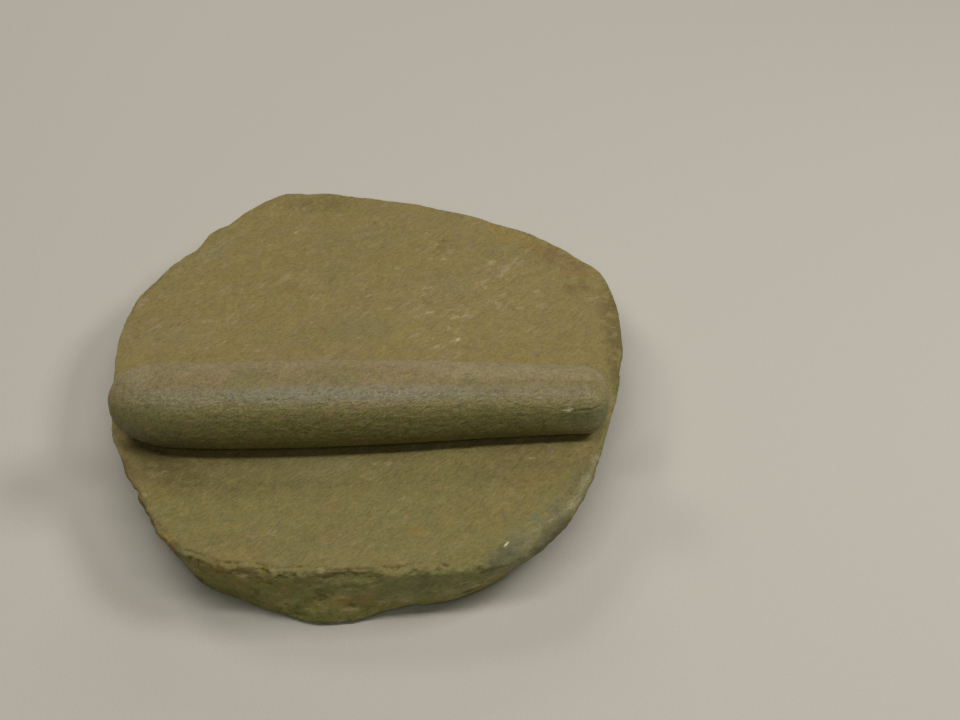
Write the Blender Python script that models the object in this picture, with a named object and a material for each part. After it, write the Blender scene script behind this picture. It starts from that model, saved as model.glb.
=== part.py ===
"""Saddle quern: a flat, roughly round grinding slab and the bar-shaped handstone lying across it.

Metres, +Z up. +X runs along the handstone, +Y to the back of the slab, and the origin is on the
underside, at the middle of the slab's plan.
"""

import math

import bpy
import numpy as np

# Driving sizes
SLAB_WIDTH = 0.320
SLAB_DEPTH = 0.364
SLAB_THICKNESS = 0.042
HANDSTONE_LENGTH = 0.297
HANDSTONE_RADIUS = 0.0240
RESTING_GAP = 0.0003

# Plan of the slab: corners as fractions of half the width and half the depth, counter-clockwise
# from the right side. The edges between them are the stone's straighter breaks.
RIM_CORNERS = (
    (1.00, -0.06),
    (1.01, 0.25),
    (0.955, 0.495),
    (0.615, 0.755),
    (0.195, 0.92),
    (-0.22, 1.01),
    (-0.41, 1.02),
    (-0.705, 0.765),
    (-0.775, 0.655),
    (-0.94, 0.46),
    (-1.01, 0.19),
    (-0.985, -0.14),
    (-0.95, -0.40),
    (-0.72, -0.81),
    (-0.60, -0.93),
    (-0.28, -1.00),
    (0.25, -1.01),
    (0.60, -0.93),
    (0.80, -0.70),
    (0.905, -0.38),
)
CORNER_ROUNDING = 0.36
RIM_SAMPLES = 132

# Flake scars bitten out of the top edge: direction in degrees, half width in degrees, depth
FLAKE_SCARS = (
    (133.0, 4.0, 0.0030),
    (123.0, 3.0, 0.0022),
    (148.0, 5.0, 0.0018),
    (104.0, 3.0, 0.0016),
    (58.0, 4.0, 0.0016),
    (36.0, 3.0, 0.0018),
    (-4.0, 4.0, 0.0015),
    (-79.0, 4.0, 0.0028),
    (-86.0, 3.0, 0.0022),
    (-99.0, 5.0, 0.0026),
    (-109.0, 4.0, 0.0030),
    (-119.0, 3.0, 0.0024),
    (-151.0, 6.0, 0.0018),
)
SCAR_REACH_DOWN = 0.55

# Flank by direction in degrees: how far the underside lies inside the top edge, how the flank
# curves on its way there (1 is a straight bevel), and the width and drop of the top edge's roll
FLANK_STATIONS = (
    (-180.0, 0.034, 1.1, 0.004, 0.0010),
    (-150.0, 0.031, 1.0, 0.003, 0.0008),
    (-132.0, 0.0185, 1.0, 0.003, 0.0010),
    (-118.0, 0.0160, 1.3, 0.005, 0.0016),
    (-105.0, 0.006, 1.6, 0.006, 0.0018),
    (-97.0, -0.001, 1.6, 0.006, 0.0018),
    (-91.0, 0.001, 1.6, 0.006, 0.0018),
    (-85.0, 0.007, 1.6, 0.007, 0.0022),
    (-72.0, 0.011, 1.6, 0.012, 0.0040),
    (-56.0, 0.029, 1.5, 0.020, 0.0065),
    (-38.0, 0.022, 1.4, 0.020, 0.0060),
    (-15.0, 0.024, 1.4, 0.010, 0.0030),
    (20.0, 0.026, 1.6, 0.005, 0.0012),
    (60.0, 0.028, 1.6, 0.005, 0.0010),
    (95.0, 0.024, 1.5, 0.005, 0.0010),
    (128.0, 0.010, 1.3, 0.004, 0.0010),
    (155.0, 0.022, 1.2, 0.004, 0.0010),
)
FLANK_LEVELS = (0.94, 0.82, 0.66, 0.48, 0.31, 0.16, 0.05)
# Scoops round the flank: half of how many go round, how they lean, where they
# start, and their share of the depth
SCOOP_DEPTH = 0.0025
SCOOP_ROWS = (
    (6.0, 2.1, 0.7, 0.6),
    (11.0, -3.0, 0.0, 0.4),
)
FOOT_ROUNDING = 0.0045
ARRIS_ROUNDING = 0.0014
TOP_RINGS = (0.975, 0.945, 0.905, 0.85, 0.76, 0.60, 0.40, 0.20)

# The grinding face is worn hollow from front to back and stays straight from side to side
DISH_DEPTH = 0.0022
DISH_REACH = 0.95

# Handstone: fraction of the length from its left end, place of the centre line in front of the
# slab's middle, and thickness as a fraction of the thickest place
HANDSTONE_LEFT_END = -0.1515
HANDSTONE_STATIONS = (
    (0.00, -0.0560, 0.955),
    (0.16, -0.0619, 0.990),
    (0.36, -0.0642, 1.000),
    (0.58, -0.0639, 0.955),
    (0.80, -0.0625, 0.850),
    (1.00, -0.0627, 0.755),
)
LEFT_END_LENGTH = 0.045
LEFT_END_BLUNTNESS = 2.5
RIGHT_END_LENGTH = 0.015
RIGHT_END_BLUNTNESS = 2.3
SECTION_SQUARENESS = 2.7
SECTION_TURN = 5.0
WORN_FACET_DEPTH = 0.0012
SECTION_SAMPLES = 40
END_SAMPLES = 9
BODY_SAMPLES = 20


def clear_scene():
    """Remove every object that the scene starts with."""
    for thing in list(bpy.data.objects):
        bpy.data.objects.remove(thing, do_unlink=True)


def stone_material(name, colour, roughness):
    """Plain stone finish."""
    material = bpy.data.materials.new(name)
    material.use_nodes = True
    shader = material.node_tree.nodes["Principled BSDF"]
    shader.inputs["Base Color"].default_value = (*colour, 1.0)
    shader.inputs["Roughness"].default_value = roughness
    shader.inputs["Metallic"].default_value = 0.0
    return material


def smooth_through(stations, column, places, period=None):
    """Read a smooth curve through one column of the stations at the given places."""
    knots = np.array([station[0] for station in stations], dtype=float)
    values = np.array([station[column] for station in stations], dtype=float)
    if period is not None:
        knots = np.concatenate((knots - period, knots, knots + period))
        values = np.tile(values, 3)
    slopes = np.gradient(values, knots)
    index = np.clip(np.searchsorted(knots, places, side="right") - 1, 0, len(knots) - 2)
    span = knots[index + 1] - knots[index]
    t = (places - knots[index]) / span
    ease = t * t * (3.0 - 2.0 * t)
    rise = t * (1.0 - t) ** 2 * span * slopes[index]
    fall = t * t * (1.0 - t) * span * slopes[index + 1]
    return values[index] * (1.0 - ease) + values[index + 1] * ease + rise - fall


def rounded_polygon(corners, rounding, steps=7):
    """Follow a polygon's edges and turn each corner on a quadratic arc."""
    curve = []
    for index, corner in enumerate(corners):
        start = corner + rounding * (corners[index - 1] - corner)
        end = corner + rounding * (corners[(index + 1) % len(corners)] - corner)
        for t in np.linspace(0.0, 1.0, steps):
            curve.append((1 - t) ** 2 * start + 2 * t * (1 - t) * corner + t * t * end)
    return np.array(curve)


def evenly_spaced(curve, count):
    """Walk round a closed curve in equal steps."""
    closed = np.vstack((curve, curve[:1]))
    lengths = np.concatenate(([0.0], np.cumsum(np.hypot(*np.diff(closed, axis=0).T))))
    marks = np.linspace(0.0, lengths[-1], count, endpoint=False)
    return np.column_stack([np.interp(marks, lengths, closed[:, axis]) for axis in (0, 1)])


def slab_plan():
    """Top edge of the slab in plan, as directions in degrees and radii about its middle."""
    corners = np.array(RIM_CORNERS) * (SLAB_WIDTH / 2, SLAB_DEPTH / 2)
    rim = evenly_spaced(rounded_polygon(corners, CORNER_ROUNDING), RIM_SAMPLES)
    directions = np.degrees(np.arctan2(rim[:, 1], rim[:, 0]))
    radii = np.hypot(rim[:, 0], rim[:, 1])
    bites = np.zeros(len(radii))
    for direction, half_width, depth in FLAKE_SCARS:
        offset = (directions - direction + 180.0) % 360.0 - 180.0
        bites += depth * np.clip(1.0 - (offset / half_width) ** 2, 0.0, None)
    return directions, radii, bites


def grinding_face_height(y):
    """Height of the worn face above the underside."""
    hollow = 1.0 - (y / (DISH_REACH * SLAB_DEPTH / 2)) ** 2
    return SLAB_THICKNESS - DISH_DEPTH * np.clip(hollow, 0.0, None)


def flank_scoops(directions, level):
    """Depth of the broad scoops that the blows left between ridges, deepest halfway down."""
    turn = np.radians(directions)
    deepest_halfway = 4.0 * level * (1.0 - level)
    depth = np.zeros(len(directions))
    for ridges, lean, start, share in SCOOP_ROWS:
        depth += share * np.abs(np.sin(ridges * turn + lean * level + start))
    return SCOOP_DEPTH * depth * deepest_halfway


def fit_to_plan(rows):
    """Centre the rows of points on the origin and scale them to the slab's width and depth."""
    points = np.concatenate(rows)
    low = points[:, :2].min(axis=0)
    high = points[:, :2].max(axis=0)
    scale = np.array((SLAB_WIDTH, SLAB_DEPTH)) / (high - low)
    for row in rows:
        row[:, :2] = (row[:, :2] - (low + high) / 2) * scale
    return rows


def slab_rows():
    """Rings of points from the middle of the grinding face, over the edge, to the underside."""
    directions, radii, bites = slab_plan()
    compass = np.column_stack((np.cos(np.radians(directions)), np.sin(np.radians(directions))))
    foot_inset, curve, roll_width, roll_drop = (
        smooth_through(FLANK_STATIONS, column, directions, period=360.0) for column in (1, 2, 3, 4)
    )
    edge = radii - bites
    rows = []
    for fraction in reversed(TOP_RINGS):
        place = compass * (edge * fraction)[:, None]
        roll = np.clip(1.0 - edge * (1.0 - fraction) / roll_width, 0.0, None) ** 2
        height = grinding_face_height(place[:, 1]) - roll_drop * roll
        rows.append(np.column_stack((place, height)))
    place = compass * (edge - ARRIS_ROUNDING)[:, None]
    rim_height = grinding_face_height(place[:, 1]) - roll_drop
    rows.append(np.column_stack((place, rim_height)))
    for level in FLANK_LEVELS:
        bite = bites * np.clip((level - 1.0 + SCAR_REACH_DOWN) / SCAR_REACH_DOWN, 0.0, None)
        inset = foot_inset * (1.0 - level) ** curve + flank_scoops(directions, level)
        place = compass * (radii - bite - inset)[:, None]
        rows.append(np.column_stack((place, rim_height * level)))
    foot = radii - foot_inset - FOOT_ROUNDING
    rows.append(np.column_stack((compass * foot[:, None], np.zeros(len(foot)))))
    return fit_to_plan(rows)


def skin(name, rows, first_tip, last_tip, material):
    """Make one closed body from rings of points; a tip of None closes that end flat."""
    count = len(rows[0])
    points = [tuple(point) for row in rows for point in row]
    faces = []
    for row in range(len(rows) - 1):
        for step in range(count):
            a = row * count + step
            b = row * count + (step + 1) % count
            faces.append((a, a + count, b + count, b))
    last_ring = (len(rows) - 1) * count
    if first_tip is None:
        faces.append(tuple(range(count)))
    else:
        points.append(tuple(first_tip))
        tip = len(points) - 1
        faces += [(tip, step, (step + 1) % count) for step in range(count)]
    if last_tip is None:
        faces.append(tuple(last_ring + step for step in reversed(range(count))))
    else:
        points.append(tuple(last_tip))
        tip = len(points) - 1
        faces += [(tip, last_ring + (step + 1) % count, last_ring + step) for step in range(count)]
    mesh = bpy.data.meshes.new(name)
    mesh.from_pydata(points, [], faces)
    mesh.validate()
    mesh.materials.append(material)
    mesh.shade_smooth()
    mesh.set_sharp_from_angle(angle=math.radians(35.0))
    thing = bpy.data.objects.new(name, mesh)
    bpy.context.scene.collection.objects.link(thing)
    return thing


def build_grinding_slab():
    """The lower stone, lying on its flat underside."""
    material = stone_material("slab_stone", (0.215, 0.175, 0.085), 0.85)
    middle = (0.0, 0.0, float(grinding_face_height(0.0)))
    return skin("grinding_slab", slab_rows(), middle, None, material)


def rounded_end(distance, length, bluntness):
    """Fraction of the full thickness at a distance from an end that rounds off over a length."""
    reach = np.clip(1.0 - distance / length, 0.0, 1.0)
    return (1.0 - reach**bluntness) ** (1.0 / bluntness)


def handstone_places():
    """Distances from the left end at which the section is drawn, closer together at the ends."""
    ease = 1.0 - np.cos(np.linspace(0.0, math.pi / 2, END_SAMPLES))
    left = LEFT_END_LENGTH * ease
    right = HANDSTONE_LENGTH - RIGHT_END_LENGTH * ease[::-1]
    body = np.linspace(left[-1], right[0], BODY_SAMPLES + 2)[1:-1]
    return np.concatenate((left[1:], body, right[:-1]))


def handstone_rows():
    """Rings round the handstone, from its left end to its right end."""
    turn = math.radians(SECTION_TURN)
    angles = -np.linspace(0.0, 2 * math.pi, SECTION_SAMPLES, endpoint=False)
    power = 2.0 / SECTION_SQUARENESS
    across = np.sign(np.cos(angles)) * np.abs(np.cos(angles)) ** power
    up = np.sign(np.sin(angles)) * np.abs(np.sin(angles)) ** power
    section_y = across * math.cos(turn) + up * math.sin(turn)
    section_z = -across * math.sin(turn) + up * math.cos(turn)
    places = handstone_places()
    centre_y = smooth_through(HANDSTONE_STATIONS, 1, places / HANDSTONE_LENGTH)
    body = HANDSTONE_RADIUS * smooth_through(HANDSTONE_STATIONS, 2, places / HANDSTONE_LENGTH)
    ends = rounded_end(places, LEFT_END_LENGTH, LEFT_END_BLUNTNESS)
    ends *= rounded_end(HANDSTONE_LENGTH - places, RIGHT_END_LENGTH, RIGHT_END_BLUNTNESS)
    rows = []
    for place, y, radius, end in zip(places, centre_y, body, ends):
        ring_y = y + radius * end * section_y
        lift = np.clip(radius - WORN_FACET_DEPTH + radius * end * section_z, 0.0, None)
        ring_z = grinding_face_height(ring_y) + RESTING_GAP + lift
        ring_x = np.full(SECTION_SAMPLES, HANDSTONE_LEFT_END + place)
        rows.append(np.column_stack((ring_x, ring_y, ring_z)))
    return rows


def end_point(fraction):
    """Tip of the handstone at its left end (0) or its right end (1)."""
    y = float(smooth_through(HANDSTONE_STATIONS, 1, np.array([fraction]))[0])
    radius = HANDSTONE_RADIUS * float(smooth_through(HANDSTONE_STATIONS, 2, np.array([fraction]))[0])
    height = float(grinding_face_height(y)) + RESTING_GAP + radius - WORN_FACET_DEPTH
    return HANDSTONE_LEFT_END + fraction * HANDSTONE_LENGTH, y, height


def build_handstone():
    """The upper stone, resting across the slab on its worn facet."""
    material = stone_material("handstone_stone", (0.200, 0.170, 0.095), 0.80)
    return skin("handstone", handstone_rows(), end_point(0.0), end_point(1.0), material)


clear_scene()
build_grinding_slab()
build_handstone()
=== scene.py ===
"""Saddle quern dressed for its render: a worn grinding slab and the handstone lying across it.

Metres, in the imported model's own frame: +X along the handstone, +Y to the back, +Z up.
"""

from __future__ import annotations

import logging
import math
from dataclasses import dataclass
from enum import Enum
from typing import Mapping, Optional, Union

import bpy
import numpy as np
from mathutils import Matrix, Vector, noise


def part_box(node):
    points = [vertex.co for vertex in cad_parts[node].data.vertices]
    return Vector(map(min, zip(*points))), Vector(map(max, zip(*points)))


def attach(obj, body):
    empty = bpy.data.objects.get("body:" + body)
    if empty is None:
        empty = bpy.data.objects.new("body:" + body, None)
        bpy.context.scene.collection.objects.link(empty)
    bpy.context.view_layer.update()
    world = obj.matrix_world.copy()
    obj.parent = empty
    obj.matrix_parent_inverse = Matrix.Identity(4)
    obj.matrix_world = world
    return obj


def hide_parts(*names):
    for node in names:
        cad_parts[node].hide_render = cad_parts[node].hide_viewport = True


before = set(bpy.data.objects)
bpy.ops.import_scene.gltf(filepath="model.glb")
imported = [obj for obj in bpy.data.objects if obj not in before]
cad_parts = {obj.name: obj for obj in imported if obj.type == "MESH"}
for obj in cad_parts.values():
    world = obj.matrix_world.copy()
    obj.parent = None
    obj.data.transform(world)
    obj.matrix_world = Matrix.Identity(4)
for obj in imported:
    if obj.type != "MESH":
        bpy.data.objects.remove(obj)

LOG = logging.getLogger("quern")
BODY = "root"

Triple = tuple[float, float, float]
Edge = Union[float, np.ndarray]

# Unit vector across the layers of the rock, which both stones show as streaks.
LAYERS: Triple = (-0.479, 0.551, 0.684)


def smooth_step(low: Edge, high: Edge, values: np.ndarray) -> np.ndarray:
    """Ease from 0 at low to 1 at high.

    Args:
        low: Where the step begins, once for all values or for each one.
        high: Where the step ends; it may be less than low.
        values: Numbers to read the step at.

    Returns:
        Numbers from 0 to 1.
    """
    t = np.clip((values - low) / (high - low), 0.0, 1.0)
    return t * t * (3.0 - 2.0 * t)


def clouds(points: np.ndarray, size: Union[float, Triple], seed: float, octaves: int = 3) -> np.ndarray:
    """Smooth random relief.

    Args:
        points: Places to read it at, one row each.
        size: Length of its largest swell, the same or different along each axis.
        seed: Offset that tells one relief from another.
        octaves: Number of halvings of the swell that are added.

    Returns:
        Numbers from about -1 to 1, one for each point.
    """
    places = points / np.asarray(size) + seed
    return np.array([noise.fractal(Vector(place), 1.0, 2.0, octaves) for place in places])


def flake_scars(points: np.ndarray, size: Union[float, Triple], seed: float) -> np.ndarray:
    """Relief of scoops that meet at sharp ridges, as flakes leave when they are struck off.

    Args:
        points: Places to read it at, one row each.
        size: Width of a scoop, the same or different along each axis.
        seed: Offset that tells one relief from another.

    Returns:
        Depths from 0 on the ridges to 1 in the deepest scoops, one for each point.
    """
    depths = np.empty(len(points))
    for index, place in enumerate(points / np.asarray(size) + seed):
        distances, centres = noise.voronoi(Vector(place))
        strength = 0.25 + 0.75 * noise.cell(centres[0] * 9.0)
        ridge = min((distances[1] - distances[0]) * 4.0, 1.0)
        depths[index] = strength * ridge * max(0.0, 1.0 - (distances[0] / 0.8) ** 2)
    return depths


def peck_marks(points: np.ndarray, spacing: float, seed: float, share: float) -> np.ndarray:
    """Small pits of uneven outline, as a pointed hammerstone leaves.

    Args:
        points: Places to read them at, one row each.
        spacing: Distance between neighbouring places for a pit.
        seed: Offset that tells one set of pits from another.
        share: Share of those places that hold a pit.

    Returns:
        Depths from 0 to 1, one for each point.
    """
    depths = np.zeros(len(points))
    wander = clouds(points, spacing * 0.45, seed, octaves=2)
    for index, place in enumerate(points / spacing + seed):
        distances, centres = noise.voronoi(Vector(place))
        if noise.cell(centres[0] * 9.0) < share:
            reach = distances[0] * (1.0 + 0.5 * wander[index])
            depths[index] = max(0.0, 1.0 - (reach / 0.45) ** 2)
    return depths


@dataclass(frozen=True)
class Dent:
    """A hollow knocked or worn into a stone.

    Attributes:
        centre: Its middle.
        reach: Its half sizes along each axis before it is turned.
        depth: How deep it goes in the middle; a negative depth raises a bump.
        turn: Degrees that it is turned about the upright axis.
    """

    centre: Triple
    reach: Triple
    depth: float
    turn: float = 0.0

    def fall(self, points: np.ndarray) -> np.ndarray:
        """Read the hollow's depth at the points.

        Args:
            points: Places, one row each.

        Returns:
            Depths in metres, zero outside the hollow.
        """
        turn = math.radians(self.turn)
        offset = points - np.asarray(self.centre)
        along = offset[:, 0] * math.cos(turn) + offset[:, 1] * math.sin(turn)
        across = offset[:, 1] * math.cos(turn) - offset[:, 0] * math.sin(turn)
        parts = np.column_stack((along, across, offset[:, 2])) / np.asarray(self.reach)
        return self.depth * np.clip(1.0 - np.sum(parts**2, axis=1), 0.0, None)


class Value:
    """A shader socket, so that shader maths reads as ordinary expressions."""

    def __init__(self, shader: Shader, socket: bpy.types.NodeSocket) -> None:
        """Hold a socket and the shader that it belongs to."""
        self.shader = shader
        self.socket = socket

    def _math(self, operation: str, first: Operand, second: Operand) -> Value:
        """Add a Math node on two operands."""
        return self.shader.node("ShaderNodeMath", {"operation": operation}, {0: first, 1: second})

    def __add__(self, other: Operand) -> Value:
        """Sum."""
        return self._math("ADD", self, other)

    def __radd__(self, other: Operand) -> Value:
        """Sum, reflected."""
        return self._math("ADD", other, self)

    def __sub__(self, other: Operand) -> Value:
        """Difference."""
        return self._math("SUBTRACT", self, other)

    def __rsub__(self, other: Operand) -> Value:
        """Difference, reflected."""
        return self._math("SUBTRACT", other, self)

    def __mul__(self, other: Operand) -> Value:
        """Product."""
        return self._math("MULTIPLY", self, other)

    def __rmul__(self, other: Operand) -> Value:
        """Product, reflected."""
        return self._math("MULTIPLY", other, self)

    def ease(self, low: float, high: float) -> Value:
        """Ease from 0 at low to 1 at high.

        Args:
            low: Where the step begins.
            high: Where the step ends; it may be less than low.

        Returns:
            The step's value.
        """
        return self.shader.node(
            "ShaderNodeMapRange",
            {"interpolation_type": "SMOOTHSTEP"},
            {"Value": self, "From Min": low, "From Max": high},
        )


Operand = Union[Value, float, Triple]


class Shader:
    """The node tree of one material."""

    def __init__(self, name: str) -> None:
        """Start an empty material."""
        self.material = bpy.data.materials.new(name)
        self.material.use_nodes = True
        self.tree = self.material.node_tree
        self.tree.nodes.clear()
        self.place = self.node("ShaderNodeTexCoord", output="Object")

    def node(
        self,
        kind: str,
        settings: Optional[Mapping[str, object]] = None,
        sockets: Optional[Mapping[Union[str, int], Operand]] = None,
        output: Union[str, int] = 0,
    ) -> Value:
        """Add one node.

        Args:
            kind: Blender's name for the node's type.
            settings: The node's own properties, which are set first.
            sockets: Values or links for its input sockets.
            output: The output socket that is wanted.

        Returns:
            The wanted output.
        """
        made = self.tree.nodes.new(kind)
        for name, setting in (settings or {}).items():
            setattr(made, name, setting)
        for name, given in (sockets or {}).items():
            socket = made.inputs[name]
            if isinstance(given, Value):
                self.tree.links.new(given.socket, socket)
            elif socket.type == "RGBA":
                socket.default_value = (*given, 1.0)
            else:
                socket.default_value = given
        return Value(self, made.outputs[output])

    def attribute(self, name: str) -> Value:
        """Read a number that the mesh carries at each point."""
        return self.node("ShaderNodeAttribute", {"attribute_name": name}, output="Fac")

    def vector(self, operation: str, first: Operand, second: Operand, output: str = "Vector") -> Value:
        """Add a Vector Math node on two operands.

        Args:
            operation: What it does.
            first: Its first operand.
            second: Its second operand.
            output: The output socket that is wanted.

        Returns:
            The wanted output.
        """
        return self.node("ShaderNodeVectorMath", {"operation": operation}, {0: first, 1: second}, output)

    def noise(
        self,
        size: float,
        seed: float,
        detail: float = 3.0,
        roughness: float = 0.55,
        where: Optional[Value] = None,
        output: str = "Fac",
    ) -> Value:
        """Cloudy noise from 0 to 1.

        Args:
            size: Width of its largest clouds in metres.
            seed: Offset that tells one noise from another.
            detail: Number of finer layers.
            roughness: Strength of the finer layers.
            where: Coordinates that it is read at; the object's own if none are given.
            output: "Fac" for a number or "Color" for three.

        Returns:
            The noise's value.
        """
        sockets = {
            "Vector": where or self.place,
            "W": seed,
            "Scale": 1.0 / size,
            "Detail": detail,
            "Roughness": roughness,
        }
        return self.node("ShaderNodeTexNoise", {"noise_dimensions": "4D"}, sockets, output)

    def layered(self, normal: Triple, stretch: float) -> Value:
        """Coordinates drawn out along the stone's layers, so that marks streak on every side of it.

        Args:
            normal: Unit vector across the layers.
            stretch: How many times longer than thick the marks are.

        Returns:
            The coordinates.
        """
        across = self.vector("DOT_PRODUCT", self.place, normal, "Value")
        return self.vector("ADD", self.place, self.shade(normal, across * (stretch - 1.0)))

    def wandering(self, size: float, reach: float, seed: float) -> Value:
        """Coordinates shaken by noise, which give a patch a ragged border.

        Args:
            size: Width of the noise's clouds in metres.
            reach: How far the coordinates wander, in metres.
            seed: Offset that tells one noise from another.

        Returns:
            The coordinates.
        """
        cloud = self.noise(size, seed, roughness=0.65, output="Color")
        offset = self.vector("SUBTRACT", cloud, (0.5, 0.5, 0.5))
        # Most of the noise lies within a quarter of its range on either side of its middle.
        scale = 4.0 * reach
        return self.vector("ADD", self.place, self.vector("MULTIPLY", offset, (scale, scale, scale)))

    def grains(self, size: float, radius: float, share: float, seed: float, where: Value) -> Value:
        """Scattered grains.

        Args:
            size: Distance between neighbouring places for a grain, in metres.
            radius: Radius of a grain as a fraction of that distance.
            share: Share of those places that hold a grain.
            seed: Offset that tells one set of grains from another.
            where: Coordinates that they are read at.

        Returns:
            A mask that is 1 on the grains and 0 between them.
        """
        cells = {"Vector": where, "W": seed, "Scale": 1.0 / size, "Randomness": 1.0}
        settings = {"voronoi_dimensions": "4D", "feature": "F1"}
        distance = self.node("ShaderNodeTexVoronoi", settings, cells, "Distance")
        colour = self.node("ShaderNodeTexVoronoi", settings, cells, "Color")
        chance = self.node("ShaderNodeSeparateColor", sockets={"Color": colour}, output="Red")
        return distance.ease(radius, radius * 0.45) * chance.ease(share + 0.02, share)

    def blend(self, factor: Operand, under: Operand, over: Operand) -> Value:
        """Lay one colour over another.

        Args:
            factor: How much of the upper colour shows.
            under: The lower colour.
            over: The upper colour.

        Returns:
            The mixed colour.
        """
        sockets = {0: factor, 6: under, 7: over}
        return self.node("ShaderNodeMix", {"data_type": "RGBA", "clamp_factor": True}, sockets, output=2)

    def shade(self, colour: Operand, amount: Operand) -> Value:
        """Darken or lighten a colour evenly.

        Args:
            colour: The colour.
            amount: What it is multiplied by.

        Returns:
            The shaded colour.
        """
        return self.node("ShaderNodeVectorMath", {"operation": "SCALE"}, {"Vector": colour, "Scale": amount})

    def close(
        self,
        colour: Operand,
        roughness: Operand,
        height: Value,
        depth: float,
        ior: float,
        sheen: Triple = (1.0, 1.0, 1.0),
    ) -> None:
        """Finish the tree with a principled surface.

        Args:
            colour: Base colour.
            roughness: Roughness.
            height: Fine relief from 0 to 1.
            depth: Depth of that relief in metres.
            ior: Index of refraction.
            sheen: Colour of its reflections.
        """
        bump = {"Height": height, "Distance": depth, "Strength": 1.0}
        normal = self.node("ShaderNodeBump", sockets=bump)
        sockets = {
            "Base Color": colour,
            "Roughness": roughness,
            "Normal": normal,
            "IOR": ior,
            "Specular Tint": sheen,
        }
        surface = self.node("ShaderNodeBsdfPrincipled", sockets=sockets)
        end = self.tree.nodes.new("ShaderNodeOutputMaterial")
        self.tree.links.new(surface.socket, end.inputs["Surface"])


class Tone(Enum):
    """Colours that the stains, the tints and the inclusions share."""

    CREAM = (0.42, 0.35, 0.18)
    BONE = (0.66, 0.60, 0.40)
    OCHRE = (0.32, 0.205, 0.045)
    IRON = (0.215, 0.130, 0.050)
    UMBER = (0.130, 0.098, 0.030)
    MOSS = (0.140, 0.138, 0.050)
    OLIVE = (0.196, 0.176, 0.062)
    ROSE = (0.350, 0.275, 0.150)
    ASH = (0.184, 0.170, 0.084)
    FROST = (0.280, 0.255, 0.135)
    SLATE = (0.112, 0.106, 0.056)
    STRAW = (0.246, 0.196, 0.052)
    PINK = (0.246, 0.166, 0.066)
    SOIL = (0.080, 0.070, 0.020)
    GRIME = (0.070, 0.062, 0.016)


@dataclass(frozen=True)
class Stain:
    """A patch of another colour at one place on a stone.

    Attributes:
        centre: Its middle.
        reach: Its half sizes along each axis before it is turned.
        tone: Its colour.
        strength: How much it hides the stone's own colour.
        turn: Degrees that it is turned about the upright axis.
        softness: Share of its reach over which it fades.
        only_on: Name of the mesh's number that limits it, if any.
    """

    centre: Triple
    reach: Triple
    tone: Tone
    strength: float
    turn: float = 0.0
    softness: float = 0.9
    only_on: str = ""

    def mask(self, shader: Shader, where: Value) -> Value:
        """Say how strongly the patch shows.

        Args:
            shader: The material's shader.
            where: Coordinates that the patch is read at.

        Returns:
            Its strength in the middle, falling to 0 outside it.
        """
        # The border fades over the softness, half of it inside the reach and half outside.
        outermost = 1.0 + self.softness / 2
        x, y, z = self.reach
        sockets = {
            "Vector": where,
            "Location": self.centre,
            "Rotation": (0.0, 0.0, math.radians(self.turn)),
            "Scale": (x * outermost, y * outermost, z * outermost),
        }
        local = shader.node("ShaderNodeMapping", {"vector_type": "TEXTURE"}, sockets)
        ball = {"gradient_type": "SPHERICAL"}
        inward = shader.node("ShaderNodeTexGradient", ball, {"Vector": local}, "Fac")
        mask = inward.ease(0.0, self.softness / outermost) * self.strength
        if self.only_on:
            mask = mask * shader.attribute(self.only_on)
        return mask

    def lay(self, shader: Shader, where: Value, colour: Value, within: Optional[Value] = None) -> Value:
        """Lay the patch over a colour.

        Args:
            shader: The material's shader.
            where: Coordinates that the patch is read at.
            colour: The colour under the patch.
            within: A mask that breaks the patch up, if any.

        Returns:
            The colour with the patch.
        """
        mask = self.mask(shader, where)
        if within is not None:
            mask = mask * within
        return shader.blend(mask, colour, self.tone.value)


@dataclass(frozen=True)
class Tint:
    """A colour that comes in where a noise, or a number of the mesh, passes a level.

    Attributes:
        colour: The colour.
        start: Level where it begins to show.
        full: Level where it shows in full; it may be less than start.
        strength: How much it then hides the colour under it.
    """

    colour: Triple
    start: float
    full: float
    strength: float

    def over(self, under: Operand, level: Value, within: Optional[Value] = None) -> Value:
        """Lay the tint over a colour.

        Args:
            under: The colour under it.
            level: The noise or the number that lets it in.
            within: A mask that holds it back, if any.

        Returns:
            The mixed colour.
        """
        mask = level.ease(self.start, self.full) * self.strength
        if within is not None:
            mask = mask * within
        return level.shader.blend(mask, under, self.colour)


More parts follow.
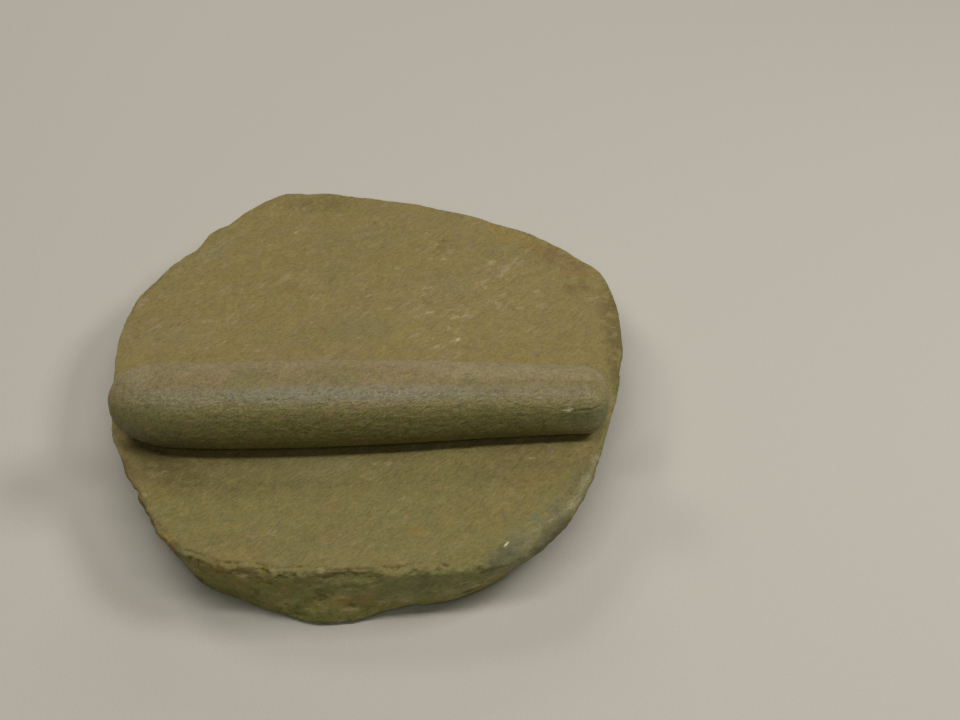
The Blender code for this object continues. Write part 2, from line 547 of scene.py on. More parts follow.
@dataclass(frozen=True)
class SlabStone:
    """Finish of the lower stone: olive-brown, worn dull on top and darker where it is broken.

    Attributes:
        worn: Ground colour of the worn face.
        yellow: Broad yellower clouds in it.
        green: Broad greener clouds in it.
        rusty: Rusty clouds in it.
        grey: Small greyer patches along the layers.
        straw: Small yellower patches along the layers.
        hollow: Dirt in the fine streaks of the worn face.
        broken: Ground colour of the broken flank.
        warm: Warmer areas of the broken flank.
        dirty: Dirt on the broken flank.
        fresh: Pale scars on the broken flank.
        crumbly: Paler crumbs along the chipped edge.
        gritty: Dirt between those crumbs.
        sunk: Darker colour in the hollows of the carved relief.
        rubbed: Pale rubbing on its crests.
        grit: How far the fine grit darkens and lightens the colour.
        mottle: How far the coarser mottling does.
        roughness: Mean roughness.
        ior: Index of refraction.
        relief: Depth of the fine relief in metres.
        stains: Broad patches with ragged borders.
        flecks: Small pale spots, broken up by noise.
        marks: Spots and chips with crisp borders.
        streaked: Where the pale streaks lie closest together.
    """

    worn: Triple = (0.244, 0.187, 0.064)
    yellow: Tint = Tint(Tone.STRAW.value, 0.45, 0.62, 0.40)
    green: Tint = Tint((0.206, 0.178, 0.062), 0.47, 0.34, 0.50)
    rusty: Tint = Tint(Tone.IRON.value, 0.55, 0.68, 0.30)
    grey: Tint = Tint((0.250, 0.182, 0.082), 0.50, 0.62, 0.60)
    straw: Tint = Tint(Tone.STRAW.value, 0.48, 0.36, 0.35)
    hollow: Tint = Tint(Tone.SOIL.value, 0.42, 0.30, 0.22)
    broken: Triple = (0.220, 0.218, 0.062)
    warm: Tint = Tint((0.285, 0.228, 0.072), 0.48, 0.56, 0.85)
    dirty: Tint = Tint(Tone.SOIL.value, 0.46, 0.38, 0.60)
    fresh: Tint = Tint((0.410, 0.350, 0.165), 0.52, 0.60, 0.60)
    crumbly: Tint = Tint((0.275, 0.208, 0.080), 0.54, 0.66, 0.35)
    gritty: Tint = Tint(Tone.SOIL.value, 0.45, 0.34, 0.35)
    sunk: Tint = Tint(Tone.SOIL.value, 0.44, 0.20, 0.45)
    rubbed: Tint = Tint(Tone.CREAM.value, 0.62, 0.95, 0.12)
    grit: float = 1.0
    mottle: float = 0.55
    roughness: float = 0.80
    ior: float = 1.38
    relief: float = 0.0012
    stains: tuple[Stain, ...] = ()
    flecks: tuple[Stain, ...] = ()
    marks: tuple[Stain, ...] = ()
    streaked: Stain = Stain((0.060, 0.058, 0.041), (0.052, 0.044, 0.020), Tone.ROSE, 0.6, turn=25.0)

    def material(self) -> bpy.types.Material:
        """Build the material.

        Returns:
            The finished material.
        """
        shader = Shader("slab_stone_worn")
        along = shader.layered(LAYERS, stretch=3.4)
        streak = shader.noise(0.0064, seed=5.0, roughness=0.62, where=along)
        colour = self.worn_face(shader, along, streak)
        colour = shader.blend(shader.attribute("broken"), colour, self.broken_face(shader, streak))
        rim = shader.attribute("rim")
        colour = self.crumbly.over(colour, streak, rim)
        colour = self.gritty.over(colour, streak, rim)

        ragged = shader.wandering(0.010, reach=0.0040, seed=6.0)
        patchy = shader.noise(0.0065, seed=15.0, detail=4.0, roughness=0.7).ease(0.34, 0.56)
        for stain in self.stains:
            colour = stain.lay(shader, ragged, colour, patchy)
        crest = shader.attribute("crest")
        colour = self.sunk.over(colour, crest)
        colour = self.rubbed.over(colour, crest)
        nervous = shader.wandering(0.0022, reach=0.0016, seed=10.0)
        broken_up = shader.noise(0.0022, seed=8.0, detail=2.0, roughness=0.6, where=along).ease(0.36, 0.54)
        for fleck in self.flecks:
            colour = fleck.lay(shader, nervous, colour, broken_up)
        crisp = shader.wandering(0.0018, reach=0.0004, seed=14.0)
        for mark in self.marks:
            colour = mark.lay(shader, crisp, colour)

        grit = shader.noise(0.0026, seed=11.0, detail=2.0, roughness=0.7, where=along)
        mottle = shader.noise(0.0075, seed=12.0, detail=4.0, roughness=0.65)
        colour = shader.shade(colour, 1.0 + (grit - 0.5) * self.grit + (mottle - 0.5) * self.mottle)
        roughness = self.roughness + (mottle - 0.5) * 0.3
        height = grit * 0.6 + streak
        shader.close(colour, roughness, height, self.relief, self.ior)
        return shader.material

    def worn_face(self, shader: Shader, along: Value, streak: Value) -> Value:
        """Colour of the worn face, with pale grains and streaks in loose clusters.

        Args:
            shader: The material's shader.
            along: Coordinates drawn out along the layers.
            streak: Fine noise along the layers.

        Returns:
            The colour.
        """
        broad = shader.noise(0.050, seed=1.0, detail=2.0)
        colour = self.yellow.over(self.worn, broad)
        colour = self.green.over(colour, broad)
        colour = self.rusty.over(colour, shader.noise(0.020, seed=16.0, detail=4.0, roughness=0.65))
        patch = shader.noise(0.0090, seed=3.0, roughness=0.60, where=along)
        colour = self.grey.over(colour, patch)
        colour = self.straw.over(colour, patch)
        cluster = shader.noise(0.022, seed=7.0).ease(0.48, 0.62)
        cluster = cluster * 0.45 + cluster * self.streaked.mask(shader, shader.place)
        pale = shader.noise(0.0092, seed=18.0, roughness=0.62, where=along)
        colour = shader.blend(pale.ease(0.55, 0.63) * (0.10 + cluster * 0.8), colour, Tone.ROSE.value)
        colour = shader.blend(streak.ease(0.54, 0.63) * (0.06 + cluster * 0.5), colour, Tone.ROSE.value)
        colour = self.hollow.over(colour, streak)
        grains = shader.grains(0.0090, radius=0.22, share=0.35, seed=9.0, where=along)
        return shader.blend(grains * 0.30, colour, Tone.CREAM.value)

    def broken_face(self, shader: Shader, streak: Value) -> Value:
        """Colour of the broken flank.

        Args:
            shader: The material's shader.
            streak: Fine noise along the layers.

        Returns:
            The colour.
        """
        area = shader.noise(0.014, seed=4.0, detail=5.0, roughness=0.70)
        colour = self.warm.over(self.broken, area)
        colour = self.dirty.over(colour, area)
        return self.fresh.over(colour, area, streak.ease(0.48, 0.58))


@dataclass(frozen=True)
class HandstoneStone:
    """Finish of the upper stone: granular and faintly polished, warm on top and greener in front, with
    painted sheen, highlights and shade.

    Attributes:
        crown: Ground colour of its top.
        pink: Broad pinker clouds in the top.
        cheek: Colour of its front and back.
        painted_underside_shade: Painted shade on its underside, darker the more it faces down.
        rosy: Small pinker patches along the layers.
        straw: Small yellower patches along the layers.
        sunk: Darker colour in the hollows of the carved relief.
        rubbed: Pale rubbing on its crests.
        painted_sheen: Painted grey sheen where the overhead light reflects, on the strip of lower roughness.
        ridge: Colour of the painted highlight along its top and on its shoulder.
        pale: Pale streaks all over.
        hollow: Dirt between those streaks.
        grit: How far the fine grit darkens and lightens the colour.
        mottle: How far the coarser mottling does.
        painted_shoulder_lift: How much its shoulder is lightened by painted light.
        polished: Roughness where it is polished.
        matt: Roughness elsewhere.
        ior: Index of refraction.
        relief: Depth of the fine relief in metres.
        sheen: Colour of its reflections.
        stains: Patches at their own places.
    """

    crown: Triple = (0.196, 0.147, 0.042)
    pink: Tint = Tint(Tone.PINK.value, 0.46, 0.62, 0.70)
    cheek: Triple = (0.243, 0.211, 0.067)
    painted_underside_shade: Tint = Tint((0.098, 0.084, 0.013), 0.28, -0.15, 0.75)
    rosy: Tint = Tint(Tone.PINK.value, 0.50, 0.64, 0.70)
    straw: Tint = Tint((0.198, 0.162, 0.030), 0.48, 0.34, 0.50)
    sunk: Tint = Tint(Tone.GRIME.value, 0.46, 0.20, 0.50)
    rubbed: Tint = Tint(Tone.CREAM.value, 0.58, 0.90, 0.16)
    painted_sheen: Tint = Tint((0.240, 0.228, 0.162), 0.34, 0.60, 0.50)
    ridge: Triple = (0.290, 0.226, 0.112)
    pale: Tint = Tint(Tone.ROSE.value, 0.57, 0.70, 0.22)
    hollow: Tint = Tint(Tone.GRIME.value, 0.42, 0.30, 0.25)
    grit: float = 1.5
    mottle: float = 1.0
    painted_shoulder_lift: float = 0.24
    polished: float = 0.28
    matt: float = 0.60
    ior: float = 1.55
    relief: float = 0.0008
    sheen: Triple = (0.72, 0.92, 1.0)
    stains: tuple[Stain, ...] = ()

    def material(self) -> bpy.types.Material:
        """Build the material.

        Returns:
            The finished material.
        """
        shader = Shader("handstone_stone_polished")
        along = shader.layered(LAYERS, stretch=2.2)
        upward = shader.attribute("upward")
        crown = self.pink.over(self.crown, shader.noise(0.035, seed=21.0, detail=2.0))
        colour = shader.blend(upward.ease(0.25, 0.85), self.cheek, crown)
        # Painted shade on the underside.
        colour = self.painted_underside_shade.over(colour, upward)
        # The shoulder between the top and the front is lightened by painted light.
        shoulder = upward.ease(0.30, 0.54) * upward.ease(0.92, 0.66)
        colour = shader.shade(colour, 1.0 + shoulder * self.painted_shoulder_lift)
        patch = shader.noise(0.0075, seed=22.0, roughness=0.65, where=along)
        colour = self.rosy.over(colour, patch)
        colour = self.straw.over(colour, patch)
        nervous = shader.wandering(0.0022, reach=0.0005, seed=23.0)
        for stain in self.stains:
            colour = stain.lay(shader, nervous, colour)

        crest = shader.attribute("crest")
        colour = self.sunk.over(colour, crest)
        colour = self.rubbed.over(colour, crest)
        streak = shader.noise(0.0038, seed=24.0, roughness=0.62, where=along)
        polish_and_sheen = shader.attribute("polish_and_sheen")
        # Painted highlight colour laid on the shoulder.
        colour = shader.blend(shoulder * 0.34, colour, self.ridge)
        # Painted sheen: a grey highlight laid on the strip where the overhead light reflects.
        colour = self.painted_sheen.over(colour, streak, polish_and_sheen)
        # Painted highlight along the top, where the bar faces up and back.
        colour = shader.blend(shader.attribute("ridge") * 0.55, colour, self.ridge)
        colour = self.pale.over(colour, streak)
        colour = self.hollow.over(colour, streak)

        grit = shader.noise(0.0019, seed=25.0, detail=2.0, roughness=0.7, where=along)
        mottle = shader.noise(0.0050, seed=26.0, detail=4.0, roughness=0.65)
        colour = shader.shade(colour, 1.0 + (grit - 0.5) * self.grit + (mottle - 0.5) * self.mottle)
        roughness = self.matt + polish_and_sheen * (self.polished - self.matt)
        height = grit * 0.7 + streak
        shader.close(colour, roughness, height, self.relief, self.ior, self.sheen)
        return shader.material


@dataclass
class Stone:
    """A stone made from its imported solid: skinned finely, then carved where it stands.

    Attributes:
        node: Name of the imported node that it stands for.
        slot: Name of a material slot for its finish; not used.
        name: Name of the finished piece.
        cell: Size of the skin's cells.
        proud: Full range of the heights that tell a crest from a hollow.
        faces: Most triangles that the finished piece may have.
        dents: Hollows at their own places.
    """

    node: str
    slot: str
    name: str
    cell: float
    proud: float
    faces: int = 190_000
    dents: tuple[Dent, ...] = ()

    def skin(self) -> bpy.types.Object:
        """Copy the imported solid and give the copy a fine, even skin.

        Returns:
            The new object.
        """
        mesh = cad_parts[self.node].data.copy()
        mesh.materials.clear()
        piece = bpy.data.objects.new(self.name, mesh)
        bpy.context.scene.collection.objects.link(piece)
        weld = piece.modifiers.new("weld", "WELD")
        weld.merge_threshold = 1e-6
        remesh = piece.modifiers.new("remesh", "REMESH")
        remesh.mode = "VOXEL"
        remesh.voxel_size = self.cell
        self.apply(piece)
        return piece

    @staticmethod
    def points(mesh: bpy.types.Mesh) -> np.ndarray:
        """Read the mesh's points, one row each."""
        flat = np.empty(len(mesh.vertices) * 3)
        mesh.vertices.foreach_get("co", flat)
        return flat.reshape(-1, 3)

    @staticmethod
    def normals(mesh: bpy.types.Mesh) -> np.ndarray:
        """Read the mesh's outward directions, one row each."""
        flat = np.empty(len(mesh.vertices) * 3)
        mesh.vertex_normals.foreach_get("vector", flat)
        return flat.reshape(-1, 3)

    @staticmethod
    def averaged(mesh: bpy.types.Mesh, values: np.ndarray, rounds: int) -> np.ndarray:
        """Average each point's values with its neighbours'.

        Args:
            mesh: The mesh whose edges say which points are neighbours.
            values: One row for each point.
            rounds: How often the averaging is repeated.

        Returns:
            The averaged values.
        """
        ends = np.empty(len(mesh.edges) * 2, dtype=np.int64)
        mesh.edges.foreach_get("vertices", ends)
        first = ends[0::2]
        second = ends[1::2]
        count = len(mesh.vertices)
        shares = (np.bincount(first, minlength=count) + np.bincount(second, minlength=count))[:, None]
        for _ in range(rounds):
            total = np.zeros_like(values)
            for axis in range(values.shape[1]):
                total[:, axis] += np.bincount(first, weights=values[second, axis], minlength=count)
                total[:, axis] += np.bincount(second, weights=values[first, axis], minlength=count)
            values = total / shares
        return values

    def crests(self, mesh: bpy.types.Mesh, rounds: int) -> np.ndarray:
        """Say how far each point stands proud of its surroundings, in metres."""
        points = self.points(mesh)
        return np.sum((points - self.averaged(mesh, points, rounds)) * self.normals(mesh), axis=1)

    def place(self, mesh: bpy.types.Mesh, points: np.ndarray) -> None:
        """Move the skin's points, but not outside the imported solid's box.

        Args:
            mesh: The skin.
            points: Where its points go, one row each.
        """
        low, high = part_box(self.node)
        mesh.vertices.foreach_set("co", np.clip(points, np.array(low), np.array(high)).ravel())
        mesh.update()

    @staticmethod
    def write(mesh: bpy.types.Mesh, name: str, values: np.ndarray) -> None:
        """Store one number for each point under a name that the finish reads."""
        attribute = mesh.attributes.new(name, "FLOAT", "POINT")
        attribute.data.foreach_set("value", np.clip(values, 0.0, 1.0).astype(np.float32))

    def thin(self, piece: bpy.types.Object) -> None:
        """Merge triangles where the stone is smooth, so that its rough places keep the finest ones."""
        count = sum(len(face.vertices) - 2 for face in piece.data.polygons)
        if count <= self.faces:
            return
        decimate = piece.modifiers.new("decimate", "DECIMATE")
        decimate.ratio = self.faces / count
        self.apply(piece)

    @staticmethod
    def apply(piece: bpy.types.Object) -> None:
        """Replace the piece's mesh by what its modifiers make of it."""
        depsgraph = bpy.context.evaluated_depsgraph_get()
        old = piece.data
        piece.data = bpy.data.meshes.new_from_object(piece.evaluated_get(depsgraph))
        piece.data.name = piece.name
        piece.modifiers.clear()
        bpy.data.meshes.remove(old)

    def settle(self, piece: bpy.types.Object, material: bpy.types.Material) -> None:
        """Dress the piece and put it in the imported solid's place.

        Args:
            piece: The stone.
            material: Its finish.
        """
        self.thin(piece)
        self.place(piece.data, self.points(piece.data))
        piece.data.materials.append(material)
        piece.data.shade_smooth()
        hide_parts(self.node)
        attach(piece, BODY)


@dataclass
class GrindingSlab(Stone):
    """The lower stone: worn smooth on top, with a crumbled front edge and broken flanks.

    Attributes:
        swell: Height of the broad unevenness of the worn face.
        pecking: Depth of the fine pecking on the worn face.
        pit: Depth of the scattered peck marks.
        flakes: Depth of the broken flank's scoops.
        level: How upright the surface is where the worn face begins, and where it is that in full.
        rubble: For each direction in degrees, how far below the worn face the edge is chipped, how
            deep the chips cut in at the top, and how rough they are.
        ruggedness: For each direction in degrees, how strong the broken flank's scoops are.
        lifted: Where the front of the underside stands off the ground, and how far.
    """

    node: str = "grinding_slab"
    slot: str = "slab_stone"
    name: str = "grinding_slab_worn"
    cell: float = 0.00118
    proud: float = 0.0013
    swell: float = 0.0006
    pecking: float = 0.00014
    pit: float = 0.00022
    flakes: float = 0.0018
    level: tuple[float, float] = (0.70, 0.93)
    rubble: tuple[tuple[float, float, float, float], ...] = (
        (-180.0, 0.0030, 0.0003, 0.0002),
        (-150.0, 0.0030, 0.0003, 0.0002),
        (-138.0, 0.0050, 0.0005, 0.0006),
        (-126.0, 0.0080, 0.0012, 0.0014),
        (-106.0, 0.0085, 0.0017, 0.0020),
        (-97.0, 0.0038, 0.0007, 0.0013),
        (-88.0, 0.0040, 0.0008, 0.0015),
        (-76.0, 0.0065, 0.0014, 0.0018),
        (-62.0, 0.0080, 0.0008, 0.0010),
        (-30.0, 0.0080, 0.0008, 0.0010),
        (-8.0, 0.0035, 0.0006, 0.0006),
        (50.0, 0.0030, 0.0004, 0.0003),
        (105.0, 0.0030, 0.0004, 0.0003),
        (124.0, 0.0045, 0.0006, 0.0004),
        (142.0, 0.0045, 0.0006, 0.0005),
        (160.0, 0.0035, 0.0005, 0.0004),
    )
    ruggedness: tuple[tuple[float, float], ...] = (
        (-180.0, 0.25),
        (-150.0, 0.25),
        (-128.0, 0.90),
        (-60.0, 1.00),
        (-20.0, 0.60),
        (20.0, 0.35),
        (110.0, 0.30),
        (150.0, 0.35),
    )
    lifted: Dent = Dent((0.042, -0.172, 0.0), (0.050, 0.026, 0.020), 0.0042)

    def build(self) -> bpy.types.Object:
        """Skin and carve the slab.

        Returns:
            The carved piece, not yet dressed.
        """
        piece = self.skin()
        mesh = piece.data
        points = self.points(mesh)
        outward = self.normals(mesh)
        upright = self.averaged(mesh, outward.copy(), rounds=4)[:, 2]
        begun, full = self.level
        worn = smooth_step(begun, full, upright)
        under = smooth_step(-begun, -full, upright)
        flank = (1.0 - worn) * (1.0 - under)

        direction = np.degrees(np.arctan2(points[:, 1], points[:, 0]))
        coarse = np.interp(direction, *np.array(self.ruggedness).T, period=360.0)
        depth = worn * self.worn_relief(points) + flank * coarse * self.flank_relief(points)
        below = points[:, 2].max() - points[:, 2]
        chips, rim = self.chipped_edge(points, direction, below)
        depth += chips * smooth_step(0.985, 0.90, upright)
        for dent in self.dents:
            depth += dent.fall(points)
        # The carving goes mostly sideways and fades out at the ground, where the slab stands.
        held = smooth_step(0.0, 0.004, points[:, 2])
        sideways = outward * np.array((1.0, 1.0, 0.55))
        moved = points - sideways * (depth * held)[:, None]
        near_ground = smooth_step(0.014, 0.0, points[:, 2])
        moved[:, 2] += np.clip(self.lifted.fall(points), 0.0, None) * near_ground
        self.place(mesh, moved)

        steep = smooth_step(0.80, 0.52, upright)
        self.write(mesh, "broken", self.averaged(mesh, steep[:, None], rounds=2)[:, 0])
        strip = rim * smooth_step(0.99, 0.93, upright)
        self.write(mesh, "rim", self.averaged(mesh, strip[:, None], rounds=3)[:, 0])
        self.write(mesh, "crest", 0.5 + self.crests(mesh, rounds=4) / self.proud)
        return piece

    def worn_relief(self, points: np.ndarray) -> np.ndarray:
        """Depth of the worn face's relief.

        Args:
            points: Places, one row each.

        Returns:
            Depths in metres, never less than zero.
        """
        depth = self.swell * (0.5 + 0.5 * clouds(points, size=0.075, seed=3.0, octaves=2))
        depth += self.pecking * (1.0 + clouds(points, size=0.0055, seed=11.0, octaves=2))
        depth += self.pecking * 1.3 * (1.0 + clouds(points, size=0.016, seed=17.0, octaves=2))
        depth += self.pit * peck_marks(points, spacing=0.0090, seed=23.0, share=0.25)
        return np.clip(depth, 0.0, None)

    def flank_relief(self, points: np.ndarray) -> np.ndarray:
        """Depth of the broken flank's relief about its mean.

        Args:
            points: Places, one row each.

        Returns:
            Depths in metres.
        """
        # The mean of each set of scars is taken off, so that the flank keeps its place.
        depth = self.flakes * (flake_scars(points, size=(0.026, 0.026, 0.016), seed=31.0) - 0.33)
        depth += self.flakes * 0.55 * (flake_scars(points, size=(0.011, 0.011, 0.006), seed=37.0) - 0.3)
        depth += self.flakes * 0.25 * (flake_scars(points, size=(0.005, 0.005, 0.003), seed=43.0) - 0.3)
        return depth + self.flakes * 0.18 * clouds(points, size=0.004, seed=41.0)

    def chipped_edge(
        self, points: np.ndarray, direction: np.ndarray, below: np.ndarray
    ) -> tuple[np.ndarray, np.ndarray]:
        """Depth of the chips along the top edge, and where they are.

        Args:
            points: Places, one row each.
            direction: Direction of each place from the middle, in degrees.
            below: How far each place lies below the worn face.

        Returns:
            Depths in metres, and a mask that is 1 in the chipped strip.
        """
        places, drops, cuts, roughs = np.array(self.rubble).T
        wander = 1.0 + 0.45 * clouds(points * np.array((1.0, 1.0, 0.2)), size=0.017, seed=53.0, octaves=2)
        drop = np.interp(direction, places, drops, period=360.0) * wander
        cut = np.interp(direction, places, cuts, period=360.0)
        rough = np.interp(direction, places, roughs, period=360.0)
        strip = smooth_step(1.15, 0.75, below / drop)
        slope = np.clip(1.0 - below / drop, 0.0, 1.0)
        crumbs = 1.3 * flake_scars(points, size=(0.0075, 0.0075, 0.0050), seed=51.0)
        crumbs += 0.7 * flake_scars(points, size=(0.0035, 0.0035, 0.0028), seed=57.0)
        return strip * (cut * slope + rough * (crumbs - 0.42)), strip


@dataclass
class Handstone(Stone):
    """The upper stone: a ground bar, granular all over, with a chipped crease near its right end.

    Attributes:
        swell: Height of the broad unevenness.
        grain: Depth of the granular surface.
        pit: Depth of the scattered pits.
        seat: How far its underside is drawn in where it rests.
        sheen_facing: Direction that the strip of lower roughness and painted sheen faces.
        top_highlight_from: For each place along the bar, the slope in degrees from where a painted highlight
            lightens its top.
    """

    node: str = "handstone"
    slot: str = "handstone_stone"
    name: str = "handstone_worn"
    cell: float = 0.00078
    proud: float = 0.0006
    swell: float = 0.0005
    grain: float = 0.00015
    pit: float = 0.00022
    seat: float = 0.0002
    sheen_facing: Triple = (0.0, -0.559, 0.829)
    top_highlight_from: tuple[tuple[float, float], ...] = (
        (-0.14, 86.0),
        (-0.04, 93.0),
        (0.01, 98.0),
        (0.06, 83.0),
        (0.15, 83.0),
    )

    def build(self) -> bpy.types.Object:
        """Skin and carve the handstone.

        Returns:
            The carved piece, not yet dressed.
        """
        piece = self.skin()
        mesh = piece.data
        points = self.points(mesh)
        outward = self.normals(mesh)
        depth = self.swell * 0.5 * clouds(points, size=(0.070, 0.035, 0.035), seed=5.0, octaves=2)
        depth += self.grain * clouds(points, size=(0.0042, 0.0028, 0.0028), seed=13.0, octaves=2)
        depth += self.pit * peck_marks(points, spacing=0.0060, seed=29.0, share=0.25)
        resting = smooth_step(-0.3, -0.8, outward[:, 2])
        depth = depth * (1.0 - resting) + self.seat * resting
        for dent in self.dents:
            depth += dent.fall(points)
        self.place(mesh, points - outward * depth[:, None])

        self.write(mesh, "crest", 0.5 + self.crests(mesh, rounds=3) / self.proud)
        facing = self.averaged(mesh, outward.copy(), rounds=6)
        self.write(mesh, "upward", facing[:, 2])
        # The strip of lower roughness and painted sheen is strongest just left of the middle and fades
        # towards both ends.
        fading = 0.4 + 0.6 * smooth_step(0.110, 0.025, np.abs(points[:, 0] + 0.010))
        self.write(mesh, "polish_and_sheen", smooth_step(0.90, 1.0, facing @ np.array(self.sheen_facing)) * fading)
        # A slope of 0 degrees faces the front and one of 90 faces up.
        slope = np.degrees(np.arctan2(facing[:, 2], -facing[:, 1]))
        start = np.interp(points[:, 0], *np.array(self.top_highlight_from).T)
        share = 0.5 + 0.5 * smooth_step(-0.02, 0.06, points[:, 0])
        # Where the painted highlight along the top lies, stronger towards the right end.
        self.write(mesh, "ridge", smooth_step(start, start + 12.0, slope) * share)
        return piece


@dataclass(frozen=True)
class Softbox:
    """A rectangular light that faces the middle of the stones.

    Attributes:
        name: Its name.
        elevation: Degrees above the horizon.
        azimuth: Degrees around the stones, where 0 is their right side and 90 is behind them.
        size: Its length and width.
        power: Its power in watts.
        colour: Its colour.
        distance: How far it hangs from the stones.
        aim: Place that it faces.
    """

    name: str
    elevation: float
    azimuth: float
    size: tuple[float, float]
    power: float
    colour: Triple
    distance: float = 1.65
    aim: Triple = (0.0, 0.0, 0.05)

    def hang(self) -> None:
        """Hang the light."""
        light = bpy.data.lights.new(self.name, "AREA")
        light.shape = "RECTANGLE"
        light.size, light.size_y = self.size
        light.energy = self.power
        light.color = self.colour
        lamp = bpy.data.objects.new(self.name, light)
        spread = self.distance * math.cos(math.radians(self.elevation))
        azimuth = math.radians(self.azimuth)
        height = self.distance * math.sin(math.radians(self.elevation))
        lamp.location = (spread * math.cos(azimuth), spread * math.sin(azimuth), height)
        facing = Vector(self.aim) - lamp.location
        lamp.rotation_euler = facing.to_track_quat("-Z", "Y").to_euler()
        bpy.context.scene.collection.objects.link(lamp)


@dataclass
class Studio:
    """Pale floor, soft lights and the camera.

    Attributes:
        floor_size: Width of the floor.
        floor_gap: How far it lies below the slab.
        floor_colour: Its colour.
        lights: The softboxes.
        eye: Place of the camera.
        lens: Focal length in millimetres.
        sensor: Width of the camera's sensor in millimetres.
        pitch: Degrees that the camera looks below the horizon.
        roll: Degrees that the camera leans to its left.
    """

    floor_size: float = 12.0
    floor_gap: float = 0.0002
    floor_colour: Triple = (0.545, 0.505, 0.450)
    lights: tuple[Softbox, ...] = (
        Softbox("overhead", 77.0, -90.0, (1.80, 0.26), 12.0, (1.0, 1.0, 0.98)),
        Softbox("right", 45.0, 0.0, (0.60, 0.40), 9.6, (1.0, 1.0, 0.98)),
        Softbox("back_left", 45.0, 135.0, (0.60, 0.40), 4.4, (1.0, 0.97, 0.90)),
        Softbox("back", 28.0, 90.0, (0.80, 0.30), 4.4, (1.0, 0.97, 0.90)),
        Softbox("front", 45.0, -90.0, (0.60, 0.40), 3.1, (0.95, 1.0, 0.86)),
    )
    eye: Triple = (0.0699, -0.8946, 0.8067)
    lens: float = 70.7
    sensor: float = 36.0
    pitch: float = 40.67
    roll: float = 1.82

    def build(self) -> None:
        """Lay the floor, hang the lights and set the camera."""
        self.lay_floor()
        self.hang_lights()
        self.set_camera()
        bpy.context.scene.view_settings.view_transform = "Standard"

    def lay_floor(self) -> None:
        """Lay the floor just under the slab."""
        half = self.floor_size / 2
        signs = ((-1, -1), (1, -1), (1, 1), (-1, 1))
        mesh = bpy.data.meshes.new("floor")
        mesh.from_pydata([(x * half, y * half, -self.floor_gap) for x, y in signs], [], [(0, 1, 2, 3)])
        shader = Shader("floor_pale")
        weave = shader.noise(0.0016, seed=31.0, detail=2.0)
        colour = shader.shade(self.floor_colour, 0.97 + weave * 0.06)
        shader.close(colour, roughness=0.9, height=weave, depth=0.0002, ior=1.4)
        mesh.materials.append(shader.material)
        floor = bpy.data.objects.new("floor", mesh)
        bpy.context.scene.collection.objects.link(floor)

    def hang_lights(self) -> None:
        """Hang the softboxes and leave the sky black."""
        for softbox in self.lights:
            softbox.hang()
        sky = bpy.data.worlds.new("studio")
        bpy.context.scene.world = sky
        sky.use_nodes = True
        sky.node_tree.nodes["Background"].inputs["Strength"].default_value = 0.0

    def set_camera(self) -> None:
        """Set the camera at its place and angle."""
        camera = bpy.data.cameras.new("camera")
        camera.lens = self.lens
        camera.sensor_width = self.sensor
        eye = bpy.data.objects.new("camera", camera)
        tilt = Matrix.Rotation(math.radians(90.0 - self.pitch), 4, "X")
        lean = Matrix.Rotation(math.radians(-self.roll), 4, "Z")
        eye.matrix_world = Matrix.Translation(self.eye) @ tilt @ lean
        bpy.context.scene.collection.objects.link(eye)
        bpy.context.scene.camera = eye


